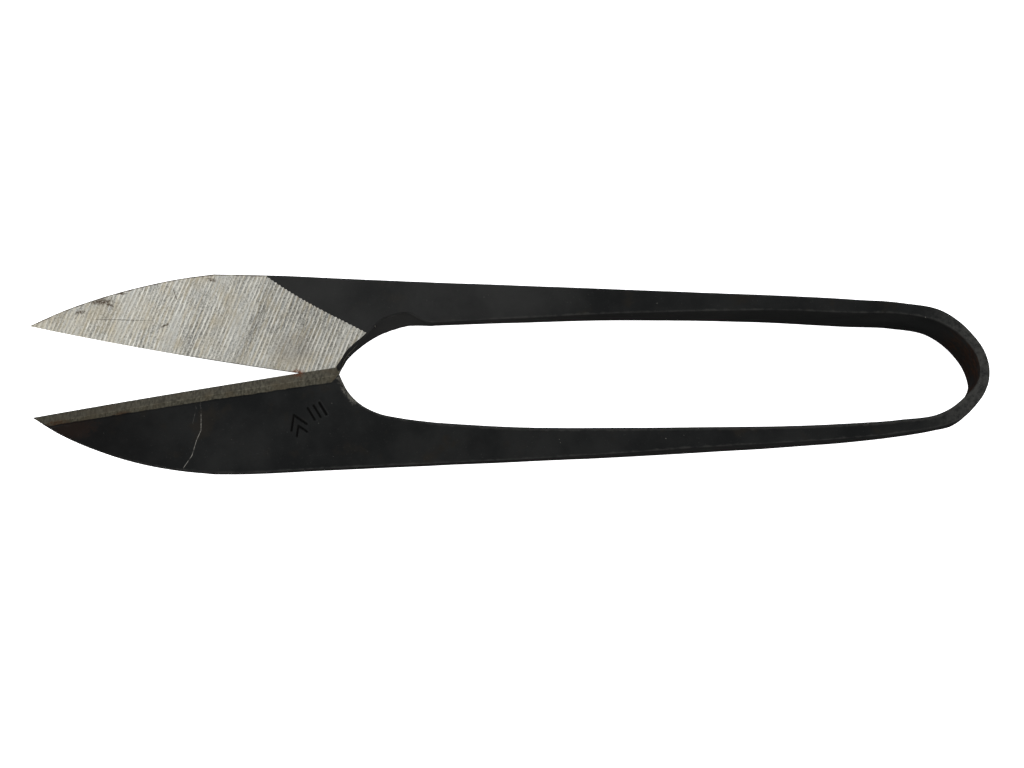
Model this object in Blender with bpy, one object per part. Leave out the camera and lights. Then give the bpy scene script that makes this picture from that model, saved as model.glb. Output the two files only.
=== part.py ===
"""Squeeze-type thread snips: a bar forged into a U, with a blade of soft iron and hard steel at each end.

The part is in metres with +Z up. It lies flat: +X runs from the blade tips to the spring bow, the two
arms stand apart along Y, and the blades slide past each other on the plane z = MID_Z. The origin is
under the middle of the bounding box. The bar is divided where it flexes, because rigid pieces can't
bend, and each blade is divided at the weld between its iron back and its steel face.

Outline tables below are in millimetres, as (x, distance from the centre line).
"""

import math

import bmesh
import bpy
from mathutils import Matrix, Vector

MM = 0.001

# The bar: its depth is its size along Z, and its thickness lies in the XY plane.
BOW_DEPTH = 8.0
NECK_DEPTH = 2.6
DEPTH_GROWS_FROM_X, DEPTH_GROWS_TO_X = -8.5, 38.5
MID_Z = BOW_DEPTH / 2
CORNER_RADIUS = 0.25
CORNER_STEPS = 2

# The bar's centre line from the upper neck round the bow to the lower neck. The lean is how far
# outwards its upper edge stands from there, and how far inwards its lower edge does.
BAR = [
    # x, y, thickness, lean
    (-8.0, 7.86, 4.48, 0.0),
    (0.0, 7.85, 3.82, 0.02),
    (12.4, 7.76, 2.70, 0.03),
    (21.1, 7.56, 2.12, 0.06),
    (29.8, 7.26, 1.67, 0.13),
    (38.0, 6.83, 1.52, 0.18),
    (42.9, 6.54, 1.27, 0.22),
    (47.4, 5.61, 1.28, 0.22),
    (49.85, 3.76, 1.05, 0.28),
    (51.54, 1.34, 1.02, 0.24),
    (51.90, 0.05, 1.06, 0.12),
    (51.93, -1.10, 1.12, -0.03),
    (51.52, -2.21, 1.26, -0.10),
    (50.42, -3.56, 1.52, -0.12),
    (49.08, -4.60, 1.62, 0.02),
    (47.4, -5.25, 1.40, 0.16),
    (42.7, -6.03, 1.48, 0.20),
    (38.2, -6.46, 1.62, 0.19),
    (29.7, -6.98, 1.84, 0.12),
    (21.0, -7.29, 2.26, 0.04),
    (12.3, -7.57, 2.82, 0.03),
    (0.0, -7.79, 3.69, 0.02),
    (-8.0, -7.73, 4.54, 0.0),
]
# The places along BAR, counted in its rows, between which each length of it runs.
UPPER_ARM_AT = (0, 5)
UPPER_LEAF_AT = (5, 8)
CROWN_AT = (8, 14)
LOWER_LEAF_AT = (14, 17)
LOWER_ARM_AT = (17, 22)
ARM_STEP, BOW_STEP = 2.0, 0.8
FLEX_GAP = 0.1

# The blades' outlines in a half's own frame, whose +Y points away from the centre line.
UPPER_BLADE = {
    "tip": (-52.67, 5.45),
    "spine": [(-49.45, 7.02), (-45.1, 8.61), (-40.7, 9.85), (-36.3, 10.77), (-32.6, 11.23)],
    "back_edge": [(-26.5, 11.14), (-18.5, 10.71), (-8.0, 10.10)],
    "throat": [(-8.0, 5.62), (-11.8, 5.20), (-14.0, 4.60), (-16.1, 3.30), (-17.35, 2.05), (-18.35, 0.50)],
    "heel": (-18.65, -0.45),
    "edge_belly": 0.35,
}
LOWER_BLADE = {
    "tip": (-52.30, 4.82),
    "spine": [(-49.2, 6.70), (-44.75, 8.62), (-40.3, 9.97), (-36.0, 10.76), (-32.0, 11.16)],
    "back_edge": [(-29.3, 11.16), (-20.6, 10.70), (-8.0, 10.00)],
    "throat": [(-8.0, 5.46), (-11.75, 5.0), (-14.0, 4.55), (-16.15, 3.46), (-17.32, 2.30), (-18.30, 0.50)],
    "heel": (-18.85, -0.78),
    "edge_belly": 0.11,
}
NECK_X = -8.0
OUTLINE_STEP = 1.6
OVERHANG = 1.2  # the blank reaches this far past the cutting edge, which the bevel then cuts

# The blade's section, as heights in the half's frame, whose +Z is the side with the steel face.
BEVEL_DEG = 38.0
BEVEL_FACETS = 720
FACE_RELIEF = 0.04  # how far the steel face falls away from the cutting plane, per length across it
FACE_CLEARANCE = 0.04
STEEL_THICKNESS = 0.7
WELD_GAP = 0.04
BACK_AT_EDGE, BACK_SLOPE_ACROSS, BACK_SLOPE_ALONG = 1.36, 0.086, 0.008
BACK_AT_NECK_X, BACK_AT_NECK = -9.0, 1.3
NECK_SLOPE_DEG = 5.2
# The shoulder where the ground face stops and the forging rises to the arm.
SHOULDER_OUTER, SHOULDER_INNER = (-26.3, 10.95), (-15.9, 4.85)
RAMP_DEG = 12.0

IRON_COLOUR, IRON_ROUGHNESS, IRON_METALLIC = (0.018, 0.018, 0.017), 0.45, 0.7
STEEL_COLOUR, STEEL_ROUGHNESS, STEEL_METALLIC = (0.46, 0.45, 0.42), 0.38, 1.0
CUTTER_SIZE = 160.0


def start_scene():
    """Removes what the scene holds, and makes the collections for the parts and for the cutters."""
    for obj in list(bpy.data.objects):
        bpy.data.objects.remove(obj)
    made = []
    for name in ("thread_snips", "cutters"):
        collection = bpy.data.collections.new(name)
        bpy.context.scene.collection.children.link(collection)
        made.append(collection)
    return made


PARTS, CUTTERS = start_scene()


def smoothstep(value, low, high):
    t = min(1.0, max(0.0, (value - low) / (high - low)))
    return t * t * (3 - 2 * t)


def slope_at(points, i):
    """The smooth curve's direction at one of its points, which leans towards the nearer neighbour's."""
    if i in (0, len(points) - 1):
        i = min(i, len(points) - 2)
        return (Vector(points[i + 1]) - Vector(points[i])).normalized()
    before = Vector(points[i]) - Vector(points[i - 1])
    after = Vector(points[i + 1]) - Vector(points[i])
    weighted = before.normalized() * after.length + after.normalized() * before.length
    return weighted / (before.length + after.length)


def spline_point(points, at):
    """A point of the smooth curve through the points; at 2.5 is midway from the third to the fourth."""
    i = min(int(at), len(points) - 2)
    t = at - i
    start, end = Vector(points[i]), Vector(points[i + 1])
    span = (end - start).length
    rise = 3 * t**2 - 2 * t**3
    leaving = slope_at(points, i) * span * (t - 2 * t**2 + t**3)
    arriving = slope_at(points, i + 1) * span * (t**3 - t**2)
    return start * (1 - rise) + end * rise + leaving + arriving


def spline_line(points, step):
    """Points about step apart along the smooth curve through the given ones, ends included."""
    line = [Vector(points[0])]
    for i in range(len(points) - 1):
        span = (Vector(points[i + 1]) - Vector(points[i])).length
        count = max(1, round(span / step))
        line += [spline_point(points, i + k / count) for k in range(1, count + 1)]
    return line


def bar_frame(at):
    """Centre, outward direction, thickness, lean and depth of the bar at a place along BAR."""
    x, y, thickness, lean = spline_point(BAR, at)
    before = spline_point(BAR, max(at - 0.01, 0))
    after = spline_point(BAR, min(at + 0.01, len(BAR) - 1))
    along = (after - before).to_2d().normalized()
    outward = Vector((-along.y, along.x))
    grown = smoothstep(x, DEPTH_GROWS_FROM_X, DEPTH_GROWS_TO_X)
    depth = NECK_DEPTH + (BOW_DEPTH - NECK_DEPTH) * grown
    return Vector((x, y)), outward, thickness, lean, depth


def bar_section(at):
    """One cross-section of the bar: a rounded rectangle, leaning outwards towards its upper edge."""
    centre, outward, thickness, lean, depth = bar_frame(at)
    ring = []
    for corner, (side, level) in enumerate(((1, 1), (-1, 1), (-1, -1), (1, -1))):
        for k in range(CORNER_STEPS + 1):
            angle = math.pi / 2 * (corner + k / CORNER_STEPS)
            across = side * (thickness / 2 - CORNER_RADIUS) + CORNER_RADIUS * math.cos(angle)
            up = level * (depth / 2 - CORNER_RADIUS) + CORNER_RADIUS * math.sin(angle)
            across += lean * up / (depth / 2)
            place = centre + outward * across
            ring.append(Vector((place.x, place.y, MID_Z + up)) * MM)
    return ring


def material(name, colour, roughness, metallic):
    made = bpy.data.materials.new(name)
    made.use_nodes = True
    shader = made.node_tree.nodes["Principled BSDF"]
    shader.inputs["Base Color"].default_value = (*colour, 1)
    shader.inputs["Roughness"].default_value = roughness
    shader.inputs["Metallic"].default_value = metallic
    return made


def iron(obj):
    obj.data.materials.append(material(obj.name, IRON_COLOUR, IRON_ROUGHNESS, IRON_METALLIC))
    return obj


def steel(obj):
    obj.data.materials.append(material(obj.name, STEEL_COLOUR, STEEL_ROUGHNESS, STEEL_METALLIC))
    return obj


def length_per_row(at):
    """How many millimetres of bar one whole row of the BAR table covers near this place."""
    return (spline_point(BAR, at + 0.01) - spline_point(BAR, at - 0.01)).to_2d().length / 0.02


def stations(first, last, step):
    """Places along BAR from first to last and about step apart, with its rows among them."""
    rows = [first, *range(int(first) + 1, math.ceil(last)), last]
    places = [first]
    for start, end in zip(rows, rows[1:]):
        count = max(1, round((spline_point(BAR, end) - spline_point(BAR, start)).length / step))
        places += [start + (end - start) * k / count for k in range(1, count + 1)]
    return places


def lofted_bar(name, first, last, step):
    """The length of bar between two places along BAR, less half a flex gap at each end."""
    start = first + FLEX_GAP / 2 / length_per_row(first + 0.01)
    end = last - FLEX_GAP / 2 / length_per_row(last - 0.01)
    mesh = bpy.data.meshes.new(name)
    shape = bmesh.new()
    rings = [
        [shape.verts.new(point) for point in bar_section(at)] for at in stations(start, end, step)
    ]
    for ring, following in zip(rings, rings[1:]):
        for i in range(len(ring)):
            j = (i + 1) % len(ring)
            shape.faces.new((ring[i], ring[j], following[j], following[i]))
    shape.faces.new(rings[0])
    shape.faces.new(reversed(rings[-1]))
    bmesh.ops.recalc_face_normals(shape, faces=shape.faces)
    shape.to_mesh(mesh)
    shape.free()
    mesh.shade_smooth()
    mesh.set_sharp_from_angle(angle=math.radians(40))
    obj = bpy.data.objects.new(name, mesh)
    PARTS.objects.link(obj)
    return iron(obj)


def edge_axes(blade):
    """The cutting edge's two ends, its direction towards the tip, and the direction towards the spine."""
    tip, heel = Vector(blade["tip"]), Vector(blade["heel"])
    along = (tip - heel).normalized()
    return tip, heel, along, Vector((along.y, -along.x))


def blade_outline(blade):
    """The blank's outline: tip, spine, back edge, neck, throat, and a straight cut past the cutting edge."""
    tip, heel, _, spineward = edge_axes(blade)
    spine = spline_line([tip, *map(Vector, blade["spine"])], OUTLINE_STEP)
    back = spline_line([Vector(blade["spine"][-1]), *map(Vector, blade["back_edge"])], 2 * OUTLINE_STEP)
    throat = spline_line([*map(Vector, blade["throat"]), heel], OUTLINE_STEP / 2)
    past_heel = heel + (heel - throat[-2]).normalized() * OVERHANG
    past_tip = tip + (tip - spine[1]).normalized() * OVERHANG - spineward * OVERHANG
    return [past_tip, *spine, *back[1:], *throat[:-1], past_heel]


def plate(name, outline, low, high, collection):
    """A flat plate: the outline filled and extruded from low to high, as a closed mesh."""
    curve = bpy.data.curves.new(name, "CURVE")
    curve.dimensions = "2D"
    curve.fill_mode = "BOTH"
    curve.extrude = (high - low) / 2 * MM
    spline = curve.splines.new("POLY")
    spline.points.add(len(outline) - 1)
    for point, place in zip(spline.points, outline):
        point.co = (place.x * MM, place.y * MM, 0, 1)
    spline.use_cyclic_u = True
    drawn = bpy.data.objects.new(name + "_outline", curve)
    drawn.location.z = (low + high) / 2 * MM
    bpy.context.scene.collection.objects.link(drawn)
    bpy.context.view_layer.update()
    graph = bpy.context.evaluated_depsgraph_get()
    mesh = bpy.data.meshes.new_from_object(drawn.evaluated_get(graph))
    mesh.name = name
    mesh.transform(drawn.matrix_world)
    bpy.data.objects.remove(drawn)
    shape = bmesh.new()
    shape.from_mesh(mesh)
    bmesh.ops.remove_doubles(shape, verts=shape.verts, dist=0.001 * MM)
    bmesh.ops.recalc_face_normals(shape, faces=shape.faces)
    shape.to_mesh(mesh)
    shape.free()
    obj = bpy.data.objects.new(name, mesh)
    collection.objects.link(obj)
    return obj


def hide(cutter):
    """Keeps a cutter out of renders, and moves it from the scene's collection to the cutters'."""
    for collection in list(cutter.users_collection):
        collection.objects.unlink(cutter)
    CUTTERS.objects.link(cutter)
    cutter.hide_render = True
    cutter.display_type = "WIRE"
    return cutter


def boolean(obj, operation, cutter):
    modifier = obj.modifiers.new(f"{operation.lower()}_{cutter.name}", "BOOLEAN")
    modifier.operation = operation
    modifier.object = cutter
    return obj


def half_space(name, point, normal):
    """A large cube that fills everything on the normal's side of the plane through the point."""
    bpy.ops.mesh.primitive_cube_add(size=CUTTER_SIZE * MM)
    cutter = bpy.context.object
    cutter.name = name
    normal = Vector(normal).normalized()
    cutter.rotation_euler = normal.to_track_quat("Z", "Y").to_euler()
    cutter.location = (Vector(point) + normal * CUTTER_SIZE / 2) * MM
    return hide(cutter)


def bevel_cone(name, tip, heel, spineward, belly):
    """The solid inside a very flat cone, whose rim at height 0 is the cutting edge's slight arc."""
    chord = (tip - heel).length
    radius = (chord**2 / 4 + belly**2) / (2 * belly)
    centre = (tip + heel) / 2 + spineward * (radius - belly)
    half_height = 4.0
    flare = half_height / math.tan(math.radians(BEVEL_DEG))
    bpy.ops.mesh.primitive_cone_add(
        vertices=BEVEL_FACETS,
        radius1=(radius - flare) * MM,
        radius2=(radius + flare) * MM,
        depth=2 * half_height * MM,
        location=(centre.x * MM, centre.y * MM, 0),
    )
    cone = bpy.context.object
    cone.name = name
    return hide(cone)


def blade_cutters(name, blade):
    """The planes and the cone that shape one blade, all in the half's frame."""
    tip, heel, along, spineward = edge_axes(blade)
    across = spineward.to_3d()
    face_normal = across * FACE_RELIEF + Vector((0, 0, 1))
    face_at = Vector((heel.x, heel.y, -FACE_CLEARANCE))
    weld_at = face_at - Vector((0, 0, STEEL_THICKNESS))
    back_normal = across * BACK_SLOPE_ACROSS - along.to_3d() * BACK_SLOPE_ALONG
    back_normal += Vector((0, 0, 1))
    outer, inner = Vector(SHOULDER_OUTER), Vector(SHOULDER_INNER)
    line = (inner - outer).normalized()
    armward = Vector((-line.y, line.x, 0))
    shoulder_drop = FACE_RELIEF * ((outer + inner) / 2 - heel).dot(spineward)
    shoulder_at = Vector((*((outer + inner) / 2), -FACE_CLEARANCE - shoulder_drop))
    ramp_normal = Vector((0, 0, 1)) - armward * math.tan(math.radians(RAMP_DEG))
    neck_slope = math.tan(math.radians(NECK_SLOPE_DEG))
    pocket = half_space(name + "_pocket", weld_at - Vector((0, 0, WELD_GAP)), face_normal)
    shoulder = half_space(name + "_shoulder", shoulder_at, armward)
    wall = half_space(name + "_wall", shoulder_at + armward * WELD_GAP, -armward)
    ramp = half_space(name + "_ramp", shoulder_at, ramp_normal)
    face = half_space(name + "_face", face_at, face_normal)
    ground = half_space(name + "_ground", face_at, face_normal)
    return {
        "cone": bevel_cone(name + "_cone", tip, heel, spineward, blade["edge_belly"]),
        "back": half_space(name + "_back", Vector((heel.x, heel.y, -BACK_AT_EDGE)), -back_normal),
        "neck": half_space(name + "_neck", (BACK_AT_NECK_X, 0, -BACK_AT_NECK), (neck_slope, 0, -1)),
        "face": face,
        "below_weld": half_space(name + "_weld", weld_at, -face_normal),
        "shoulder": shoulder,
        "pocket": boolean(pocket, "INTERSECT", wall),
        "ground_face": boolean(ground, "INTERSECT", ramp),
    }


def laminated_blade(name, blade, half):
    """The iron back and the steel face of one blade, placed by the matrix of its half."""
    outline = blade_outline(blade)
    outline = [Vector((min(p.x, NECK_X - FLEX_GAP / 2), p.y)) for p in outline]
    cutters = blade_cutters(name, blade)
    back = plate(name + "_iron_back", outline, -4.0, NECK_DEPTH / 2, PARTS)
    boolean(back, "INTERSECT", cutters["cone"])
    for cutter in ("back", "neck", "ground_face", "pocket"):
        boolean(back, "DIFFERENCE", cutters[cutter])
    face = plate(name + "_steel_face", outline, -3.0, 0.5, PARTS)
    boolean(face, "INTERSECT", cutters["cone"])
    for cutter in ("back", "face", "below_weld", "shoulder"):
        boolean(face, "DIFFERENCE", cutters[cutter])
    used = {modifier.object for obj in (back, face) for modifier in obj.modifiers}
    used |= {modifier.object for cutter in used for modifier in cutter.modifiers}
    for obj in used:
        bpy.context.view_layer.update()
        obj.matrix_world = half @ obj.matrix_world
    for obj in (back, face):
        obj.data.transform(half)
    return iron(back), steel(face)


def pivot(name, at):
    """An empty on a flexure's axis, which the pieces that turn there hang from."""
    x, y, _, _ = spline_point(BAR, at)
    empty = bpy.data.objects.new(name, None)
    empty.empty_display_size = 3 * MM
    empty.location = Vector((x, y, MID_Z)) * MM
    PARTS.objects.link(empty)
    return empty


def hang(empty, *objects):
    """Parents objects to the empty and moves their origins to it, leaving their shapes in place."""
    for obj in objects:
        obj.data.transform(Matrix.Translation(-empty.location))
        obj.parent = empty


def main():
    upper = Matrix.Translation((0, 0, MID_Z * MM))
    lower = upper @ Matrix.Rotation(math.pi, 4, "X")

    lofted_bar("spring_bow_crown", *CROWN_AT, BOW_STEP)
    upper_leaf = lofted_bar("upper_spring_leaf", *UPPER_LEAF_AT, BOW_STEP)
    lower_leaf = lofted_bar("lower_spring_leaf", *LOWER_LEAF_AT, BOW_STEP)
    upper_arm = lofted_bar("upper_handle_arm", *UPPER_ARM_AT, ARM_STEP)
    lower_arm = lofted_bar("lower_handle_arm", *LOWER_ARM_AT, ARM_STEP)
    upper_blade = laminated_blade("upper_blade", UPPER_BLADE, upper)
    lower_blade = laminated_blade("lower_blade", LOWER_BLADE, lower)

    hang(pivot("upper_bow_flex", CROWN_AT[0]), upper_leaf)
    hang(pivot("lower_bow_flex", CROWN_AT[1]), lower_leaf)
    hang(pivot("upper_arm_flex", UPPER_ARM_AT[1]), upper_arm, *upper_blade)
    hang(pivot("lower_arm_flex", LOWER_ARM_AT[0]), lower_arm, *lower_blade)


main()
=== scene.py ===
import functools
import math

import bmesh
import bpy
import numpy as np
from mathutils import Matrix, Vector, noise


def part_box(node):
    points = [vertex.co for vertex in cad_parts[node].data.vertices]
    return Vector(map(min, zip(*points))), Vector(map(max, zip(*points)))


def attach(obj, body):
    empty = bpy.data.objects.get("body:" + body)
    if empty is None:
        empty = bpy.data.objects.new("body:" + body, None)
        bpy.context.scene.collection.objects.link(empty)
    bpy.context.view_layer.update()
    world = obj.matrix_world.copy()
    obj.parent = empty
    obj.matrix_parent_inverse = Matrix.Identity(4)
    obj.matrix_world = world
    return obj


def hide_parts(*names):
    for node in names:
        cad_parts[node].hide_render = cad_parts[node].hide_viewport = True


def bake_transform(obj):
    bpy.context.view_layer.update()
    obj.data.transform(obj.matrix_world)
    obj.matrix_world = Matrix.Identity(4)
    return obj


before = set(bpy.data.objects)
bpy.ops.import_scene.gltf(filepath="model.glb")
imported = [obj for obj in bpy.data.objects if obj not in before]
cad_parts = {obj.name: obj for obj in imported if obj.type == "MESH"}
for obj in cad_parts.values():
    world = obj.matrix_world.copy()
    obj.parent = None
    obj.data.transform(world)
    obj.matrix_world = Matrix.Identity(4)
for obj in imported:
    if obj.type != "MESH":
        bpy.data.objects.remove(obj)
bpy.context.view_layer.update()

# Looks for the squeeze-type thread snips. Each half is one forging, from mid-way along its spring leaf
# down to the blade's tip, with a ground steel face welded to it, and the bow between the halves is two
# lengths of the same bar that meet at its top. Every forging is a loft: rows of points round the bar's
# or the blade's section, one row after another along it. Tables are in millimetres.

noise.seed_set(1)  # unseeded, noise_vector starts from the clock and every run differs

MM = 0.001
MID_Z = sum(corner.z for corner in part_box("spring_bow_crown")) / 2 / MM
BOW_DEPTH = (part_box("spring_bow_crown")[1].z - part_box("spring_bow_crown")[0].z) / MM
NECK_DEPTH = 2.6
DEPTH_GROWS_FROM_X, DEPTH_GROWS_TO_X = -8.5, 38.5

# The bar's centre line from the upper neck round the bow to the lower neck. The lean is how far
# outwards its upper edge stands from there, and how far inwards its lower edge does.
BAR = [
    # x, y, thickness, lean
    (-8.0, 7.86, 4.48, 0.0),
    (0.0, 7.85, 3.82, 0.02),
    (12.4, 7.76, 2.70, 0.03),
    (21.1, 7.56, 2.12, 0.06),
    (29.8, 7.26, 1.67, 0.13),
    (38.0, 6.83, 1.52, 0.18),
    (42.9, 6.54, 1.27, 0.22),
    (47.4, 5.61, 1.28, 0.22),
    (49.85, 3.76, 1.05, 0.28),
    (51.54, 1.34, 1.02, 0.24),
    (51.90, 0.05, 1.06, 0.12),
    (51.93, -1.10, 1.12, -0.03),
    (51.52, -2.21, 1.26, -0.10),
    (50.42, -3.56, 1.52, -0.12),
    (49.08, -4.60, 1.62, 0.02),
    (47.4, -5.25, 1.40, 0.16),
    (42.7, -6.03, 1.48, 0.20),
    (38.2, -6.46, 1.62, 0.19),
    (29.7, -6.98, 1.84, 0.12),
    (21.0, -7.29, 2.26, 0.04),
    (12.3, -7.57, 2.82, 0.03),
    (0.0, -7.79, 3.69, 0.02),
    (-8.0, -7.73, 4.54, 0.0),
]
# Places along BAR, counted in its rows: the necks, the seams mid-way along the leaves, the bow's top.
UPPER_NECK, UPPER_SEAM, BOW_TOP, LOWER_SEAM, LOWER_NECK = 0, 6.2, 11, 15.8, 22

# The blades' outlines in a half's own frame: +Y points away from the centre line, +Z is the side with
# the steel face, and height 0 is the plane that the two blades slide on. flip is 1 for the upper half
# and -1 for the lower one, whose frame is turned half round about X.
UPPER_BLADE = {
    "tip": (-52.90, 5.39),
    "spine": [(-49.45, 7.02), (-45.1, 8.61), (-40.7, 9.86), (-36.3, 10.80), (-32.6, 11.32)],
    "back_edge": [(-26.5, 11.19), (-18.5, 10.71), (-8.0, 10.10)],
    "throat": [(-8.0, 5.62), (-11.8, 5.20), (-14.0, 4.60), (-16.1, 3.30), (-17.35, 2.05), (-18.35, 0.50)],
    "heel": (-18.65, -0.45),
    "edge_belly": 0.35,
}
LOWER_BLADE = {
    "tip": (-52.30, 4.82),
    "spine": [(-49.2, 6.70), (-44.75, 8.62), (-40.3, 9.97), (-36.0, 10.76), (-32.0, 11.16)],
    "back_edge": [(-29.3, 11.16), (-20.6, 10.70), (-8.0, 10.00)],
    "throat": [(-8.0, 5.46), (-11.75, 5.0), (-14.0, 4.55), (-16.15, 3.46), (-17.32, 2.30), (-18.30, 0.50)],
    "heel": (-18.85, -0.78),
    "edge_belly": 0.11,
}
NECK_X = -8.0
BEVEL_SLOPE = math.tan(math.radians(38.0))
BEVEL_TO_SPINE = 0.97 * BEVEL_SLOPE  # at the tip the bevel goes on to the spine
FACE_RELIEF, FACE_CLEARANCE = 0.04, 0.04
STEEL_THICKNESS = 0.7
WELD_LINE = 0.003  # the open hairline between the steel and the iron
BACK_AT_EDGE, BACK_SLOPE_ACROSS, BACK_SLOPE_ALONG = 1.36, 0.086, 0.008
BACK_AT_NECK_X = -9.0
NECK_SLOPE = math.tan(math.radians(5.2))
SHOULDER_OUTER, SHOULDER_INNER = np.array((-26.8, 11.1)), np.array((-15.9, 4.85))
SHOULDER_SAG, SHOULDER_SAG_AT = 0.27, 0.42
RAMP_SLOPE = math.tan(math.radians(12.0))
RAMP_ROUNDING = 0.25
STEEL_UNDERLAP = 1.2  # how far the steel runs on under the iron past the shoulder

BAR_CORNER = 0.17
SPINE_CORNER = 0.12
THROAT_CORNER = 0.10
# By flip, how far in from its foot the throat's wall stands at height 0, and over what depth it leans.
THROAT_LEAN = {1: 0.73, -1: 0.04}
LEAN_DEPTH_AT_HEEL, LEAN_DEPTH = 0.45, 1.75
WORN_THROAT = 0.62  # width of the bare strip along the lower throat
THROAT_CHAMFER_AT_HEEL, THROAT_CHAMFER = 0.36, 0.10
GROUND_SHORT_OF_CREASE = 0.2  # how far the bright grinding stops before the bevel's own crease
GROUND_RUNS_OUT = 1.2  # how much narrower the grinding gets past the heel

# Hammer marks, as (height, distance between bumps, seed).
FRONT_HAMMERING = ((0.030, 3.1, 4), (0.012, 1.1, 9))
BACK_HAMMERING = ((0.035, 3.6, 2), (0.012, 1.2, 7))
BAR_HAMMERING = ((0.028, 6.0, 3.0), (0.007, 1.4, 11.0))

# Distances between the rows of points, and how far from the tip's very point the first row is.
BLADE_PITCH, STAMPED_PITCH, ARM_PITCH, BOW_PITCH = 0.28, 0.06, 0.3, 0.12
STEEL_PITCH, STEEL_END_PITCH = 0.055, 0.02
TIP_GAP = 0.04
THROAT_ROWS = 76
MERGE_WITHIN = 0.0004
SHARP_ANGLE = math.radians(32)

# Values that the meshes carry where nothing of a kind is near: on a distance that counts inwards from
# a rim, and on a distance to something.
OUTSIDE, FAR_AWAY = -6.0, 9.0

# The stamp on the lower blade, cut with a chisel: two nested chevrons and three ticks.
STAMP_AT = np.array((-22.2, 4.85))
STAMP_TURN = math.radians(-24.0)
STAMP = [
    [(-1.9, 0.9), (-1.0, -0.6), (-0.1, 0.9)],
    [(-1.6, 1.7), (-1.0, 0.7), (-0.4, 1.7)],
    [(0.7, -0.7), (0.9, 0.8)],
    [(1.4, -0.7), (1.6, 0.8)],
    [(2.1, -0.7), (2.3, 0.8)],
]
STAMP_DEPTH, STAMP_HALF_WIDTH, STAMP_LIP = 0.16, 0.165, 0.045
STAMP_SPAN = (1.0, 7.8)  # how far along the cutting edge from the heel the stamp reaches

# Two scratches across the lower blade's back, as (distance from the centre line, x).
SCRATCH = [(3.7, -33.56), (6.4, -33.50), (7.46, -33.95), (9.2, -34.42), (10.6, -35.35)]
SECOND_SCRATCH = [(3.8, -34.05), (5.6, -34.44)]

# The coarse lines that the grinding left across the steel faces, which lean towards the tip.
GRIND_PITCH, GRIND_DEPTH, GRIND_LEAN = 0.46, 0.012, 0.20


# -------- curves and heights


def slope_at(points, i):
    """The smooth curve's direction at one of its points, which leans towards the nearer neighbour's."""
    if i in (0, len(points) - 1):
        i = min(i, len(points) - 2)
        step = points[i + 1] - points[i]
        return step / np.linalg.norm(step)
    before, after = points[i] - points[i - 1], points[i + 1] - points[i]
    near, far = np.linalg.norm(before), np.linalg.norm(after)
    return (before / near * far + after / far * near) / (near + far)


def smooth_curve(points, at):
    """Points of the smooth curve through the given ones; at 2.5 is midway from the third to the fourth."""
    points, at = np.asarray(points, float), np.asarray(at, float)
    slopes = np.array([slope_at(points, k) for k in range(len(points))])
    i = np.clip(np.floor(at).astype(int), 0, len(points) - 2)
    t = (at - i)[:, None]
    start, end = points[i], points[i + 1]
    span = np.linalg.norm(end - start, axis=1)[:, None]
    rise = 3 * t**2 - 2 * t**3
    leaving = slopes[i] * span * (t - 2 * t**2 + t**3)
    arriving = slopes[i + 1] * span * (t**3 - t**2)
    return start * (1 - rise) + end * rise + leaving + arriving


def places_along(points, first, last, step):
    """Places from first to last on the smooth curve, about step apart along it."""
    fine = np.linspace(first, last, 3000)
    hops = np.linalg.norm(np.diff(smooth_curve(points, fine)[:, :2], axis=0), axis=1)
    run = np.concatenate(([0.0], np.cumsum(hops)))
    return np.interp(np.linspace(0, run[-1], round(run[-1] / step) + 1), run, fine)


def smoothstep(value, low, high):
    t = np.clip((value - low) / (high - low), 0, 1)
    return t * t * (3 - 2 * t)


def soft_min(a, b, rounding):
    return np.minimum(a, b) - np.maximum(rounding - np.abs(a - b), 0) ** 2 / (4 * rounding)


def soft_max(a, b, rounding):
    return -soft_min(-a, -b, rounding)


def graded(start, end, pitch, fine_pitch, fine_from, fine_to):
    """Numbers from start down to end, a fine pitch apart between two of them and a wider one elsewhere."""
    numbers = [start]
    while numbers[-1] > end:
        outside = max(fine_from - numbers[-1], numbers[-1] - fine_to, 0)
        numbers.append(numbers[-1] - fine_pitch - (pitch - fine_pitch) * min(outside / 2, 1))
    numbers[-1] = end
    return np.array(numbers)


def unevenness(places, size, seed):
    """Smooth noise of about -1 to 1 at each of the places, with its bumps about size apart."""
    flat = places.reshape(-1, places.shape[-1]) / size
    if flat.shape[1] == 2:
        flat = np.column_stack((flat, np.full(len(flat), float(seed))))
    return np.array([noise.noise(Vector(p)) for p in flat]).reshape(places.shape[:-1])


def hammered(places, marks):
    """Height of the hammer marks at each of the places."""
    return sum(height * unevenness(places, size, seed) for height, size, seed in marks)


def arm_share(x):
    """0 on the blade, 1 on the arm, and smooth between them at the neck."""
    return smoothstep(x, NECK_X - 4, NECK_X)


def blade_axes(blade):
    """The heel, the direction from it to the tip, the direction to the spine, and the edge's length."""
    tip, heel = np.array(blade["tip"]), np.array(blade["heel"])
    length = np.linalg.norm(tip - heel)
    along = (tip - heel) / length
    return heel, along, np.array((along[1], -along[0])), length


def to_blade(blade, xy):
    """Distances along the cutting edge from the heel, and from the heel's line towards the spine."""
    heel, along, spineward, _ = blade_axes(blade)
    return (xy - heel) @ along, (xy - heel) @ spineward


def from_blade(blade, along_edge, across):
    heel, along, spineward, _ = blade_axes(blade)
    return heel + np.multiply.outer(along_edge, along) + np.multiply.outer(across, spineward)


def edge_offset(blade, along_edge):
    """How far the cutting edge's slight arc stands from the straight line between its ends."""
    length = blade_axes(blade)[3]
    return -blade["edge_belly"] * (1 - (2 * along_edge / length - 1) ** 2)


def half_depth(x):
    grown = smoothstep(x, DEPTH_GROWS_FROM_X, DEPTH_GROWS_TO_X)
    return (NECK_DEPTH + (BOW_DEPTH - NECK_DEPTH) * grown) / 2


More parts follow.
